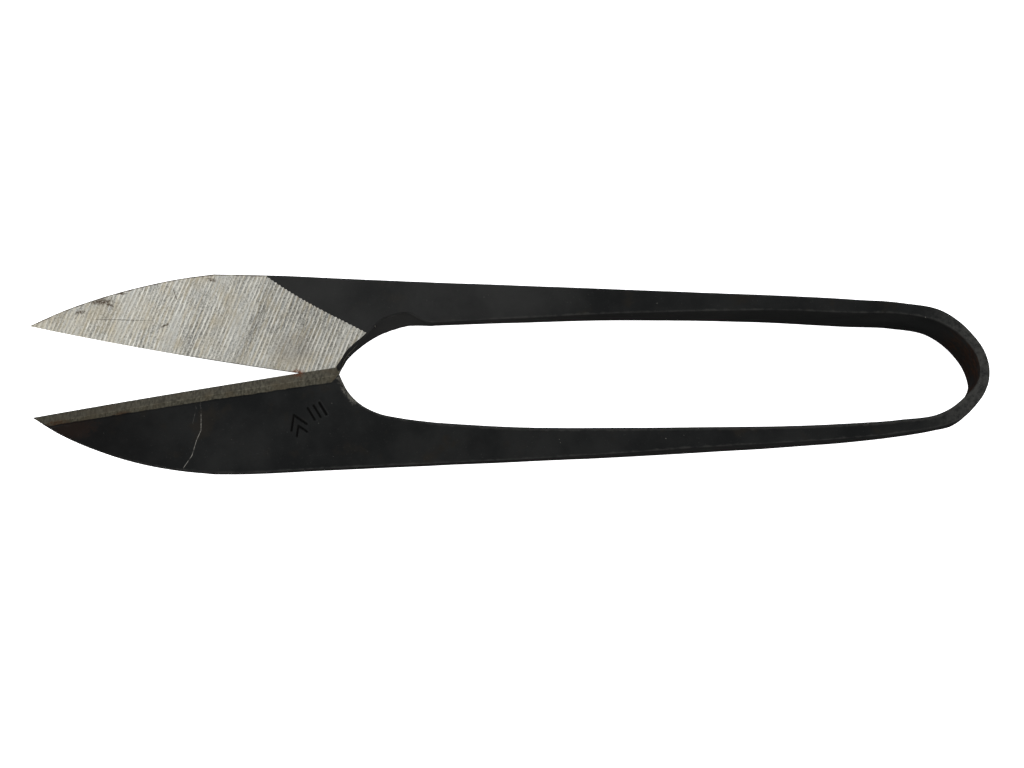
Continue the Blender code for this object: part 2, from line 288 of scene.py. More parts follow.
def past_shoulder(xy):
    """Distance from the shoulder's line towards the arm; the line sags a little towards the tip."""
    line = SHOULDER_INNER - SHOULDER_OUTER
    length = np.linalg.norm(line)
    line = line / length
    armward = np.array((-line[1], line[0]))
    t = np.clip((xy - SHOULDER_OUTER) @ line / length, 0, 1)
    skewed = t ** (math.log(0.5) / math.log(SHOULDER_SAG_AT))
    return (xy - SHOULDER_OUTER) @ armward + SHOULDER_SAG * np.sin(math.pi * skewed) ** 1.2


def face_height(blade, xy):
    """Height of the ground steel face, before its grinding lines."""
    return -FACE_CLEARANCE - FACE_RELIEF * to_blade(blade, xy)[1]


def iron_front(blade, xy):
    """Height of the forging on the steel's side: the weld, the ramp up from the shoulder, the arm."""
    face = face_height(blade, xy)
    weld = face - STEEL_THICKNESS - WELD_LINE
    top = half_depth(xy[..., 0])
    marks = hammered(xy, FRONT_HAMMERING)
    ramp = face + RAMP_SLOPE * past_shoulder(xy)
    above = soft_min(ramp, top + marks * smoothstep(top - ramp, 0.4, -0.4), RAMP_ROUNDING)
    in_blade = 1 - smoothstep(xy[..., 0], NECK_X - 3, NECK_X)
    return np.maximum(above, weld) * in_blade + top * (1 - in_blade)


def blade_width(blade, xy):
    """Width of the blade, from edge to spine, at each place's distance along the edge."""
    outer_l, outer_a = to_blade(blade, outer_line(blade))
    l = to_blade(blade, xy)[0]
    width = np.interp(l, outer_l[::-1], outer_a[::-1]) - edge_offset(blade, l)
    return np.where(l > 0, np.maximum(width, 0.02), FAR_AWAY)


def iron_back(blade, xy):
    """Height of the forging's black back: the blade's plane, then the neck's, then the arm."""
    l, a = to_blade(blade, xy)
    plane = -(BACK_AT_EDGE + BACK_SLOPE_ACROSS * a - BACK_SLOPE_ALONG * l)
    x = xy[..., 0]
    neck = -half_depth(x) - NECK_SLOPE * np.maximum(BACK_AT_NECK_X - x, 0)
    in_blade = 1 - arm_share(x)
    height = soft_max(plane, neck, 0.3) * in_blade + neck * (1 - in_blade)
    height = height + hammered(xy, BACK_HAMMERING) * in_blade * smoothstep(a, 1.4, 3.0)
    return np.maximum(height, -BEVEL_TO_SPINE * blade_width(blade, xy))


def stroke_distance(xy, stroke):
    """Distance from each place to a stroke of straight pieces."""
    nearest = np.full(xy.shape[:-1], 1e9)
    for start, end in zip(stroke, stroke[1:]):
        piece = end - start
        t = np.clip((xy - start) @ piece / (piece @ piece), 0, 1)
        nearest = np.minimum(nearest, np.linalg.norm(xy - start - t[..., None] * piece, axis=-1))
    return nearest


def stamp_cut(xy):
    """Depth of the stamp's chisel cuts at each place, with the metal that they push up beside them."""
    cosine, sine = math.cos(STAMP_TURN), math.sin(STAMP_TURN)
    turn = np.array(((cosine, -sine), (sine, cosine)))
    depth = np.zeros(xy.shape[:-1])
    for stroke in STAMP:
        placed = STAMP_AT + np.array(stroke) @ turn.T
        away = stroke_distance(xy, placed) / STAMP_HALF_WIDTH
        depth = np.maximum(depth, STAMP_DEPTH * np.clip(1 - away, 0, 1))
        depth -= STAMP_LIP * np.exp(-((away - 1.5) ** 2) * 4) * (depth < 0.001)
    return depth


# -------- rows and sections


def bar_rows(at, flip):
    """Inner ends, outer ends and leans of the bar's rows, in the half's frame."""
    rows = smooth_curve(BAR, at)
    last = len(BAR) - 1
    along = smooth_curve(BAR, np.minimum(at + 0.01, last)) - smooth_curve(BAR, np.maximum(at - 0.01, 0))
    along = along[:, :2] / np.linalg.norm(along[:, :2], axis=1)[:, None]
    outward = np.column_stack((-along[:, 1], along[:, 0] * flip))
    centre = rows[:, :2] * (1, flip)
    half = rows[:, 2:3] / 2
    return centre - outward * half, centre + outward * half, rows[:, 3] * flip


def outer_line(blade):
    """Points of the blade's spine and back edge, close together, from the tip to the neck."""
    spine = [blade["tip"], *blade["spine"]]
    back = [blade["spine"][-1], *blade["back_edge"]]
    return np.vstack(
        (
            smooth_curve(spine, np.linspace(0, len(spine) - 1, 400)),
            smooth_curve(back, np.linspace(0, len(back) - 1, 200))[1:],
        )
    )


def throat_line(blade, count):
    """Points of the throat from the heel up to the neck."""
    throat = [*blade["throat"], blade["heel"]]
    at = places_along(throat, 0, len(throat) - 1, 0.01)
    return smooth_curve(throat, np.interp(np.linspace(1, 0, count), np.linspace(0, 1, len(at)), at))


def forging_rows(blade, neck, seam, flip, fine):
    """Inner ends, outer ends and leans of a half's rows, from the tip to the seam in the spring leaf."""
    length = blade_axes(blade)[3]
    outer = outer_line(blade)
    outer_l, outer_a = to_blade(blade, outer)
    l = graded(length - TIP_GAP, 0, BLADE_PITCH, STAMPED_PITCH if fine else BLADE_PITCH, *STAMP_SPAN)
    a = np.interp(l, outer_l[::-1], outer_a[::-1])
    has_iron = BEVEL_TO_SPINE * (a - edge_offset(blade, l)) > STEEL_THICKNESS + WELD_LINE + 0.03
    l, a = l[has_iron], a[has_iron]
    inner_ends = [from_blade(blade, l, edge_offset(blade, l))]
    outer_ends = [from_blade(blade, l, a)]
    throat = throat_line(blade, THROAT_ROWS)[1:-1]
    share = np.linspace(0, 1, THROAT_ROWS)[1:-1]
    last_x = outer_ends[0][-1, 0]
    x = last_x + (NECK_X - last_x) * share
    inner_ends.append(throat)
    outer_ends.append(np.column_stack((x, np.interp(x, outer[:, 0], outer[:, 1]))))
    arm = bar_rows(places_along(BAR, neck, seam, ARM_PITCH), flip)
    leans = np.concatenate((np.zeros(len(l) + len(throat)), arm[2]))
    return np.vstack((*inner_ends, arm[0])), np.vstack((*outer_ends, arm[1])), leans


def placed(inner, outer, leans, t, z):
    """Places of the points that stand t from the inner ends and at height z, leaning as the bar does."""
    direction = outer - inner
    direction = direction / np.linalg.norm(direction, axis=1)[:, None]
    shift = t + leans[:, None] * z / half_depth(inner[:, :1])
    return inner[:, None, :] + direction[:, None, :] * shift[..., None]


def between(start, end, count, crowded=None):
    """A row of count numbers from each start to its end, closer together round a crowded share."""
    share = np.linspace(0, 1, count)
    if crowded is not None:
        fine = np.linspace(0, 1, 400)
        density = 1 + 3 * np.exp(-(((fine - crowded) / 0.22) ** 4))
        share = np.interp(share * density.sum(), np.cumsum(density) - density[0], fine)
    return start + (end - start) * share


def arc(count):
    """Sines and cosines of the angles inside a rounded corner."""
    angle = np.linspace(0, math.pi / 2, count + 2)[1:-1]
    return np.sin(angle), np.cos(angle)


# A section's inner side, where it isn't said: straight, upright and without a chamfer.
PLAIN_SIDE = {"start": 0.0, "roundness": 0.0, "lean": 0.0, "lean_depth": 1.0, "chamfer": 0.0}


def rounded_section(rows, front, back, side, columns):
    """The points round each row: front, outer wall, back, chamfer, inner wall.

    side holds, for each row or for all: start, the inner wall's place; foot, the height where it meets
    the chamfer; crease, where the chamfer meets the back; roundness and least width of the chamfer;
    lean and lean_depth of the inner wall; and the inner and outer corner radii. Returns t, z, which
    stretch of the section each column is in, and each point's distance from the nearest corner.
    """
    inner, outer, leans = rows
    width = np.linalg.norm(outer - inner, axis=1)[:, None]
    side = {key: np.reshape(values, (-1, 1)) for key, values in {**PLAIN_SIDE, **side}.items()}
    start, foot, roundness = side["start"], side["foot"], side["roundness"]
    near, far = side["inner_corner"], side["outer_corner"]

    def wall_at(z):
        return side["lean"] * np.clip(1 + z / side["lean_depth"], 0, 1)

    def front_at(t):
        return front(placed(inner, outer, leans, t, 0 * t))

    def back_at(t):
        return back(placed(inner, outer, leans, t, 0 * t))

    crease = np.maximum(side["crease"], start + wall_at(back_at(start)) + side["chamfer"])
    rim = start + near + wall_at(front_at(start + near))
    front_t = between(rim, width - far, columns["front"])
    back_t = between(width - far, crease, columns["back"], columns.get("crowded"))
    top, bottom, crease_z = front_at(width - far), back_at(width - far), back_at(crease)
    inner_top = np.maximum(front_at(start + near), foot + near)

    share = np.linspace(0, 1, columns["chamfer"] + 2)[1:]
    quarter = share * math.pi / 2
    chamfer_across = (1 - share) * (1 - roundness) + (1 - np.sin(quarter)) * roundness
    chamfer_up = share * (1 - roundness) + (1 - np.cos(quarter)) * roundness
    chamfer_t = start + (crease - start) * chamfer_across + wall_at(foot) * share
    chamfer_z = crease_z + (foot - crease_z) * chamfer_up

    sine, cosine = arc(columns["corner"])
    wall = columns["wall"]
    wall_z = between(foot, inner_top - near, wall + 1)[:, 1:]
    stretches = [
        ("front", front_t, front_at(front_t)),
        ("corner", width - far + far * sine, top - far * (1 - cosine)),
        ("outer", np.repeat(width, wall, 1), between(top - far, bottom + far, wall)),
        ("corner", width - far * (1 - cosine), bottom + far * (1 - sine)),
        ("back", back_t, back_at(back_t)),
        ("chamfer", chamfer_t, chamfer_z),
        ("inner", start + wall_at(wall_z), wall_z),
        ("corner", rim - near + near * (1 - cosine), inner_top - near * (1 - sine)),
    ]
    t = np.hstack([stretch[1] for stretch in stretches])
    z = np.hstack([stretch[2] for stretch in stretches])
    kinds = np.concatenate([[name] * stretch.shape[1] for name, stretch, _ in stretches])
    corners = [(width, top), (width, bottom), (crease, crease_z), (rim - near, inner_top)]
    from_corner = np.min([np.hypot(t - at, z - height) for at, height in corners], axis=0)
    return t, z, kinds, from_corner


def wobble(points):
    """Moves points on the bar a little, as hammering leaves it; the blades have their own unevenness."""
    amount = smoothstep(points[:, 0], -16.0, -6.0)
    for height, size, seed in BAR_HAMMERING:
        shift = [noise.noise_vector(Vector(p / size) + Vector((seed, seed, seed))) for p in points]
        points = points + height * amount[:, None] * np.array(shift)
    return points


# What each mesh carries at its points, where its piece gives nothing else.
PLAIN = {
    "ground_mm": OUTSIDE,
    "throat_wear_mm": OUTSIDE,
    "stamped_mm": 0.0,
    "scratch_mm": FAR_AWAY,
    "second_scratch_mm": FAR_AWAY,
    "inner_wall": 0.0,
}


def linked(name, data):
    obj = bpy.data.objects.new(name, data)
    bpy.context.scene.collection.objects.link(obj)
    return obj


def loft(name, flip, xy, z, attributes, slots=None):
    """A closed mesh through rows of section points in a half's frame; slots is a material per column."""
    rows, columns = z.shape
    points = np.concatenate((xy, z[..., None]), axis=2).reshape(-1, 3)
    points = wobble(points * (1, flip, flip) + (0, 0, MID_Z))
    index = np.arange(rows * columns).reshape(rows, columns)
    following = np.roll(index, -1, axis=1)
    quads = np.stack((index[:-1], following[:-1], following[1:], index[1:]), axis=2).reshape(-1, 4)
    faces = [tuple(int(i) for i in quad) for quad in quads]
    faces.append(tuple(int(i) for i in index[0][::-1]))
    faces.append(tuple(int(i) for i in index[-1]))
    mesh = bpy.data.meshes.new(name)
    mesh.from_pydata((points * MM).tolist(), [], faces)
    for key, values in {**PLAIN, **attributes}.items():
        layer = mesh.attributes.new(key, "FLOAT", "POINT")
        layer.data.foreach_set("value", np.broadcast_to(values, z.shape).astype(np.float32).ravel())
    place = mesh.attributes.new("place", "FLOAT_VECTOR", "POINT")
    place.data.foreach_set("vector", points.astype(np.float32).ravel())
    if slots is not None:
        by_face = np.concatenate((np.tile(slots, rows - 1), [0, 0]))
        mesh.polygons.foreach_set("material_index", by_face.astype(np.int32))
    return tidied(name, mesh)


def tidied(name, mesh):
    """The object for a mesh, with coincident points merged, normals outward and sharp edges kept."""
    shape = bmesh.new()
    shape.from_mesh(mesh)
    bmesh.ops.remove_doubles(shape, verts=shape.verts, dist=MERGE_WITHIN * MM)
    bmesh.ops.recalc_face_normals(shape, faces=shape.faces)
    shape.to_mesh(mesh)
    shape.free()
    mesh.shade_smooth()
    mesh.set_sharp_from_angle(angle=SHARP_ANGLE)
    return linked(name, mesh)


# -------- the pieces


def wall_distance(blade, places):
    """Distance of each place from the throat's line, which runs straight on past the heel."""
    line = throat_line(blade, 90)
    beyond = line[0] + (line[0] - line[3]) * np.arange(1, 9)[:, None]
    away = np.full(places.shape[:-1], 1e9)
    for point in np.vstack((beyond, line)):
        away = np.minimum(away, np.hypot(places[..., 0] - point[0], places[..., 1] - point[1]))
    return away


def reach(blade, inner, direction, distances):
    """How far along each row's section it gets the given distance away from the throat's line."""
    tries = np.linspace(0, 3, 151)
    away = wall_distance(blade, inner[:, None] + direction[:, None] * tries[:, None])
    found = np.array([np.interp(d, np.maximum.accumulate(row), tries) for d, row in zip(distances, away)])
    return np.where((away[:, 0] >= distances) | (inner[:, 0] < blade["heel"][0] - 1.5), 0, found)


def wall_lean(blade, inner, direction, flip):
    """How far in from its foot each row's throat wall stands at height 0, and over what depth."""
    past_heel = np.linalg.norm(inner - np.array(blade["heel"]), axis=1)
    from_heel = past_heel - 2 * np.maximum(to_blade(blade, inner)[0], 0)
    in_arm = arm_share(inner[:, 0])
    grows = 0.92 + 0.08 * smoothstep(from_heel, -0.5, 2.2) + 1.1 * smoothstep(past_heel, 4.2, 6.5)
    depth = LEAN_DEPTH_AT_HEEL + (LEAN_DEPTH - LEAN_DEPTH_AT_HEEL) * smoothstep(from_heel, -0.3, 2.2)
    return reach(blade, inner, direction, THROAT_LEAN[flip] * grows * (1 - in_arm)), depth


def bevel_foot(from_edge_line, lean, depth, oblique):
    """The height where the bevel meets the throat's leaning wall."""
    leaning = -(from_edge_line + oblique * lean) * BEVEL_SLOPE / (1 + oblique * lean * BEVEL_SLOPE / depth)
    return np.where(leaning > -depth, leaning, -from_edge_line * BEVEL_SLOPE)


def forging(name, blade, neck, seam, flip):
    """One half's forging: blade back, neck, arm and part of the spring leaf."""
    stamped = flip < 0
    rows = forging_rows(blade, neck, seam, flip, fine=stamped)
    inner, outer, leans = rows
    width = np.linalg.norm(outer - inner, axis=1)
    direction = (outer - inner) / width[:, None]
    l, a = to_blade(blade, inner)
    from_edge_line = np.maximum(a - edge_offset(blade, l), 0)
    in_arm = arm_share(inner[:, 0])
    oblique = np.clip(direction @ blade_axes(blade)[2], 0.5, 1)

    def back(xy):
        height = iron_back(blade, xy)
        return height + stamp_cut(xy) if stamped else height

    def height_at(function, t):
        return function(placed(inner, outer, leans, t[:, None], 0 * t[:, None]))[:, 0]

    past_heel = np.linalg.norm(inner - np.array(blade["heel"]), axis=1) * (l < 0.001)
    narrows = THROAT_CHAMFER_AT_HEEL - THROAT_CHAMFER
    chamfer = THROAT_CHAMFER_AT_HEEL - narrows * smoothstep(past_heel, 0.5, 5.0)
    chamfer = chamfer * (1 - in_arm) + BAR_CORNER * in_arm
    bevel_crease = 0 * width
    for _ in range(4):
        depth_there = -height_at(lambda xy: iron_back(blade, xy), bevel_crease)
        bevel_crease = np.maximum(depth_there / BEVEL_SLOPE - from_edge_line, -2) / oblique
    runs_out = smoothstep(past_heel - np.maximum(l, 0), -0.9, 0.6) * GROUND_RUNS_OUT
    ground_to = bevel_crease - GROUND_SHORT_OF_CREASE - runs_out
    chamfer_reach = reach(blade, inner, direction, chamfer * (past_heel > 0) * (1 - in_arm))
    chamfer_reach = np.maximum(chamfer_reach, chamfer * in_arm)
    crease = soft_max(bevel_crease, np.maximum(chamfer_reach, 0.02), 0.15)
    crease = np.minimum(crease, width * 0.98)
    crease_z = height_at(back, crease)
    lean, lean_depth = wall_lean(blade, inner, direction, flip)
    foot = np.minimum(bevel_foot(from_edge_line, lean, lean_depth, oblique), 0)
    foot = np.maximum(foot, crease_z + np.maximum(chamfer * 0.9, 0.001))
    weld = face_height(blade, inner) - STEEL_THICKNESS - WELD_LINE
    under_steel = past_shoulder(inner) < 1.0
    bevel_at_weld = -from_edge_line - weld / BEVEL_SLOPE
    wall_at_weld = lean * np.clip(1 + weld / lean_depth, 0, 1)
    cut_by_bevel = under_steel & (bevel_at_weld > wall_at_weld)
    lean = np.where(cut_by_bevel, 0, lean)
    start = np.minimum(np.where(cut_by_bevel, bevel_at_weld, 0), width * 0.96)
    foot = np.where(cut_by_bevel, np.maximum(weld, crease_z + 0.002), foot)
    thickness = height_at(lambda xy: iron_front(blade, xy), start) - crease_z
    room = np.maximum(np.minimum(width - crease, thickness), 0.002)
    far = np.minimum(SPINE_CORNER * (1 - in_arm) + BAR_CORNER * in_arm, 0.35 * room)
    near = np.where(cut_by_bevel, 0.0, THROAT_CORNER * (1 - in_arm) + BAR_CORNER * in_arm)
    near = np.minimum(near, 0.35 * room)
    side = {
        "start": start,
        "foot": foot,
        "crease": np.maximum(crease, start),
        "roundness": in_arm,
        "lean": lean,
        "lean_depth": lean_depth,
        "chamfer": np.where(cut_by_bevel, 0, chamfer_reach),
        "inner_corner": near,
        "outer_corner": far,
    }
    columns = {"front": 34, "corner": 3, "wall": 14, "back": 110 if stamped else 40, "chamfer": 8}
    if stamped:
        columns["crowded"] = 0.62
    t, z, kinds, from_corner = rounded_section(rows, lambda xy: iron_front(blade, xy), back, side, columns)
    xy = placed(*rows, t, z)
    on_bevel = np.isin(kinds, ("back", "chamfer"))[None, :] | cut_by_bevel[:, None]
    edge_side = cut_by_bevel[:, None] & (t < width[:, None] / 2)
    has_wall = 1.0 - cut_by_bevel[:, None]
    attributes = {
        "ground_mm": np.where(on_bevel, ground_to[:, None] - t, OUTSIDE),
        "from_corner_mm": np.where(edge_side, FAR_AWAY, from_corner),
        "inner_wall": (kinds == "inner") * has_wall,
        "side_wall": np.isin(kinds, ("inner", "outer")) * has_wall,
    }
    if stamped:
        worn = (WORN_THROAT * smoothstep(past_heel, 6.0, 3.5))[:, None] - wall_distance(blade, xy)
        attributes["throat_wear_mm"] = np.where(on_bevel, worn, OUTSIDE)
        attributes["stamped_mm"] = stamp_cut(xy)
        attributes["scratch_mm"] = scratch_offset(xy, SCRATCH)
        attributes["second_scratch_mm"] = scratch_offset(xy, SECOND_SCRATCH)
    return loft(name, flip, xy, z, attributes)


def scratch_offset(xy, line):
    """Signed distance across a scratch that runs over the blade, or a large number past its ends."""
    y, x = np.array(line).T
    offset = xy[..., 0] - np.interp(xy[..., 1], y, x)
    past_ends = np.maximum(y[0] - xy[..., 1], xy[..., 1] - y[-1])
    return np.where(past_ends > 0, np.sign(offset) * (np.abs(offset) + past_ends * 4), offset)


def bow(name, first, last, flip):
    """A length of the bow, from a seam in a spring leaf to the bow's top."""
    rows = bar_rows(places_along(BAR, first, last, BOW_PITCH), flip)
    side = {
        "foot": BAR_CORNER - half_depth(rows[0][:, 0]),
        "crease": BAR_CORNER,
        "roundness": 1.0,
        "inner_corner": BAR_CORNER,
        "outer_corner": BAR_CORNER,
    }
    columns = {"front": 10, "corner": 3, "wall": 40, "back": 10, "chamfer": 4}
    t, z, kinds, from_corner = rounded_section(
        rows, lambda xy: half_depth(xy[..., 0]), lambda xy: -half_depth(xy[..., 0]), side, columns
    )
    attributes = {
        "inner_wall": kinds == "inner",
        "side_wall": np.isin(kinds, ("inner", "outer")),
        "from_corner_mm": from_corner,
    }
    return loft(name, flip, placed(*rows, t, z), z, attributes)


def grinding_lines(l, a, seed):
    """Height, from about -1 to 1, of the coarse lines that the grinding left across the steel face."""
    l = l + GRIND_LEAN * a
    here = np.stack((l, a), axis=-1)
    wander = 0.55 * unevenness(here / (2.4, 9.0), 1, seed)
    wander = wander + 0.22 * unevenness(here / (0.9, 3.4), 1, seed + 3)
    lines = np.cos(2 * math.pi * (l / GRIND_PITCH + wander))
    strength = 0.75 + 0.5 * unevenness(here / (1.7, 5.0), 1, seed + 6)
    return strength * lines


def steel_face(name, blade, flip):
    """The ground steel face: from the cutting edge to the spine, and on under the iron's ramp."""
    length = blade_axes(blade)[3]
    outer = outer_line(blade)
    outer_l, outer_a = to_blade(blade, outer)
    throat_l, throat_a = (values[::-1] for values in to_blade(blade, throat_line(blade, 400)))
    past_heel_l = np.linspace(-3, 0, 300)
    along_throat = from_blade(blade, past_heel_l, np.interp(past_heel_l, throat_l, throat_a))
    end_l = past_heel_l[past_shoulder(along_throat) <= STEEL_UNDERLAP][0]
    l = graded(length - TIP_GAP, end_l, STEEL_PITCH, STEEL_END_PITCH, -0.4, 0.0)
    start_a = np.where(l > 0, edge_offset(blade, l), np.interp(l, throat_l, throat_a))
    spine_a = np.interp(l, outer_l[::-1], outer_a[::-1])
    tries = np.linspace(0, 1, 200)
    across = start_a[:, None] + (spine_a - start_a)[:, None] * tries
    buried = past_shoulder(from_blade(blade, 0 * across + l[:, None], across))
    first_buried = np.array([np.interp(STEEL_UNDERLAP, row, tries, right=1.0) for row in buried])
    end_a = start_a + (spine_a - start_a) * first_buried - 0.015
    end_a = np.maximum(end_a, start_a + 0.01)
    inner, outer_ends = from_blade(blade, l, start_a), from_blade(blade, l, end_a)
    width = end_a - start_a
    face = face_height(blade, inner)
    from_edge_line = np.maximum(start_a - edge_offset(blade, l), 0)
    spineward = np.repeat(blade_axes(blade)[2][None, :], len(l), 0)
    lean, lean_depth = wall_lean(blade, inner, spineward, flip)
    bevel_top = np.minimum(bevel_foot(from_edge_line, lean, lean_depth, 1), face)
    weld = face - np.minimum(STEEL_THICKNESS, BEVEL_TO_SPINE * width)
    foot = np.maximum(bevel_top, weld)
    crease = np.clip((-from_edge_line * BEVEL_SLOPE - weld) / BEVEL_SLOPE, 0.0, width * 0.97)
    thickness = np.minimum(STEEL_THICKNESS, np.maximum((width - crease), 0.01) * 0.9)
    corner = np.minimum(0.10, 0.3 * thickness)
    throat_corner = np.minimum(THROAT_CORNER, 0.4 * width) * smoothstep(from_edge_line, 0.1, 0.8)
    seed = 5 if flip > 0 else 25

    def face_with_lines(xy):
        here_l, here_a = to_blade(blade, xy)
        edge_fade = smoothstep(here_a - edge_offset(blade, here_l), 0.0, 0.25) * 0.6 + 0.4
        return face_height(blade, xy) + GRIND_DEPTH * grinding_lines(here_l, here_a, seed) * edge_fade

    def weld_side(xy):
        return face_height(blade, xy) - np.minimum(STEEL_THICKNESS, to_spine)

    to_spine = BEVEL_TO_SPINE * np.maximum(width, 0.02)[:, None]
    rows = (inner, outer_ends, np.zeros(len(l)))
    side = {
        "foot": np.minimum(foot, face - 0.001),
        "crease": crease,
        "lean": lean,
        "lean_depth": lean_depth,
        "inner_corner": throat_corner,
        "outer_corner": corner,
    }
    columns = {"front": 26, "corner": 2, "wall": 4, "back": 4, "chamfer": 5}
    t, z, kinds, from_corner = rounded_section(rows, face_with_lines, weld_side, side, columns)
    xy = placed(*rows, t, z)
    here_l, here_a = to_blade(blade, xy)
    attributes = {
        "along_edge_mm": here_l,
        "along_lines_mm": here_l + GRIND_LEAN * here_a,
        "from_edge_mm": here_a - edge_offset(blade, here_l),
        "to_spine_mm": width[:, None] - t + 20 * (first_buried[:, None] < 1),
        "line_height": grinding_lines(here_l, here_a, seed),
        "side_wall": kinds == "inner",
        "from_corner_mm": from_corner,
    }
    slot_of = {"front": 0, "chamfer": 1, "back": 1}
    return loft(name, flip, xy, z, attributes, slots=[slot_of.get(kind, 2) for kind in kinds])


PIECES = {
    "upper_forging": forging("upper_forging", UPPER_BLADE, UPPER_NECK, UPPER_SEAM, 1),
    "lower_forging": forging("lower_forging", LOWER_BLADE, LOWER_NECK, LOWER_SEAM, -1),
    "upper_bow": bow("upper_bow", UPPER_SEAM, BOW_TOP, 1),
    "lower_bow": bow("lower_bow", LOWER_SEAM, BOW_TOP, -1),
    "upper_blade_steel": steel_face("upper_blade_steel", UPPER_BLADE, 1),
    "lower_blade_steel": steel_face("lower_blade_steel", LOWER_BLADE, -1),
}


# -------- shader nodes


class Nodes:
    """Adds shader nodes to a material or world. A value is a number or another node's socket."""

    def __init__(self, owner):
        owner.use_nodes = True
        self.owner = owner
        self.tree = owner.node_tree

    def put(self, socket, value):
        if isinstance(value, bpy.types.NodeSocket):
            self.tree.links.new(value, socket)
        else:
            socket.default_value = value

    def add(self, kind, inputs=None, **settings):
        node = self.tree.nodes.new("ShaderNode" + kind)
        for key, value in settings.items():
            setattr(node, key, value)
        for key, value in (inputs or {}).items():
            self.put(node.inputs[key], value)
        return node

    def carried(self, name):
        """The named value that the mesh carries at each of its points."""
        return self.add("Attribute", attribute_name=name).outputs["Fac"]

    def place(self):
        """The place in millimetres that the mesh carries at each of its points."""
        return self.add("Attribute", attribute_name="place").outputs["Vector"]

    def axis(self, vector, name):
        return self.add("SeparateXYZ", {"Vector": vector}).outputs[name]

    def math(self, operation, a, b=0.0, clamp=False):
        return self.add("Math", {0: a, 1: b}, operation=operation, use_clamp=clamp).outputs[0]

    def times(self, a, b):
        return self.math("MULTIPLY", a, b)

    def plus(self, a, b):
        return self.math("ADD", a, b)

    def ramp(self, value, low, high):
        """0 below low, 1 above high, and smooth between them; low above high turns it round."""
        inputs = {"Value": value, "From Min": low, "From Max": high}
        return self.add("MapRange", inputs, interpolation_type="SMOOTHSTEP").outputs["Result"]

    def number(self, factor, a, b):
        """Number a where the factor is 0 and b where it is 1."""
        return self.add("MapRange", {"Value": factor, "To Min": a, "To Max": b}).outputs["Result"]

    def mix(self, factor, a, b):
        """Colour a where the factor is 0 and b where it is 1."""
        node = self.add("Mix", {0: factor}, data_type="RGBA")
        for socket, colour in ((node.inputs[6], a), (node.inputs[7], b)):
            self.put(socket, (*colour, 1.0) if isinstance(colour, tuple) else colour)
        return node.outputs[2]

    def tint(self, colour, new, amount, strength=None):
        """The colour with a new one laid over it, by an amount from 0 to 1."""
        return self.mix(amount if strength is None else self.times(amount, strength), colour, new)

    def grain(self, where, size, detail=2.0, roughness=0.5, stretch=(1, 1, 1), seed=0.0):
        """Noise from 0 to 1 whose features are about size millimetres across."""
        inputs = {"Vector": where, "Scale": tuple(s / size for s in stretch), "Location": (seed,) * 3}
        scaled = self.add("Mapping", inputs).outputs["Vector"]
        inputs = {"Vector": scaled, "Scale": 1.0, "Detail": detail, "Roughness": roughness}
        return self.add("TexNoise", inputs).outputs["Fac"]

    def jitter(self, amount, *where_and_size, **more):
        """Noise round 0, which frays a limit that it is added to."""
        return self.times(self.math("SUBTRACT", self.grain(*where_and_size, **more), 0.5), amount)

    def spot(self, where, centre, size, turn=0.0, ragged=3.0):
        """1 in the middle of a blot with the given half sizes, turned about Z, and 0 past its rim."""
        turned = (0, 0, math.radians(turn))
        inputs = {"Vector": where, "Location": centre, "Rotation": turned, "Scale": size}
        local = self.add("Mapping", inputs, vector_type="TEXTURE").outputs["Vector"]
        away = self.add("VectorMath", {0: local}, operation="LENGTH").outputs["Value"]
        return self.ramp(self.plus(away, self.jitter(ragged, where, 0.35, 5, 0.8)), 1.4, 0.6)

    def spots(self, where, table):
        """Several spots, each given as centre, half sizes, turn and, for a cleaner rim, raggedness."""
        found = [self.spot(where, *row) for row in table]
        return functools.reduce(lambda a, b: self.math("MAXIMUM", a, b), found)

    def bumped(self, height, distance_mm, strength):
        inputs = {"Height": height, "Distance": distance_mm * MM, "Strength": strength}
        return self.add("Bump", inputs).outputs["Normal"]

    def finish(self, specular, colour, roughness, metallic, normal):
        """Gives the material its surface and returns the material."""
        shader = self.tree.nodes["Principled BSDF"]
        surface = {
            "Specular IOR Level": specular,
            "Base Color": colour,
            "Roughness": roughness,
            "Metallic": metallic,
            "Normal": normal,
        }
        for key, value in surface.items():
            self.put(shader.inputs[key], value)
        return self.owner


# -------- materials

SCALE_DARK, SCALE_LIGHT = (0.0052, 0.0056, 0.0057), (0.0102, 0.0106, 0.0104)
SCALE_BROWN, SCALE_GREY = (0.0115, 0.0098, 0.0076), (0.021, 0.0212, 0.0208)
NEAR_BLACK, WALL_PAINTED_LIGHT = (0.0016, 0.0014, 0.0014), (0.020, 0.0195, 0.0185)
WORN_IRON, BARE_IRON = (0.032, 0.032, 0.030), (0.30, 0.29, 0.26)
STRIP_GREY = (0.082, 0.078, 0.068)
BOW_RUST_DARK, BOW_RUST_BRIGHT = (0.0095, 0.0056, 0.0040), (0.024, 0.011, 0.006)
CROSSING_RUST, RUST_DARK = (0.095, 0.034, 0.014), (0.018, 0.0085, 0.0048)
STAIN_BROWN = (0.040, 0.018, 0.0085)
BEVEL_DARK, BEVEL_LIGHT = (0.040, 0.037, 0.028), (0.096, 0.090, 0.069)
BEVEL_WARM, BEVEL_SMOKE = (0.074, 0.061, 0.041), (0.024, 0.020, 0.011)
BEVEL_METAL, FACE_METAL = 0.45, 0.7
SCALE_SPECULAR, BEVEL_SPECULAR, FACE_SPECULAR = 0.03, 0.3, 0.4
FACE_DARK, FACE_LIGHT, FACE_CREST_HIGHLIGHT = (0.060, 0.058, 0.050), (0.42, 0.413, 0.372), (0.64, 0.625, 0.565)
FACE_WARM, FACE_COOL = (0.30, 0.262, 0.185), (0.235, 0.245, 0.245)
EDGE_SHADE = (0.012, 0.011, 0.010)
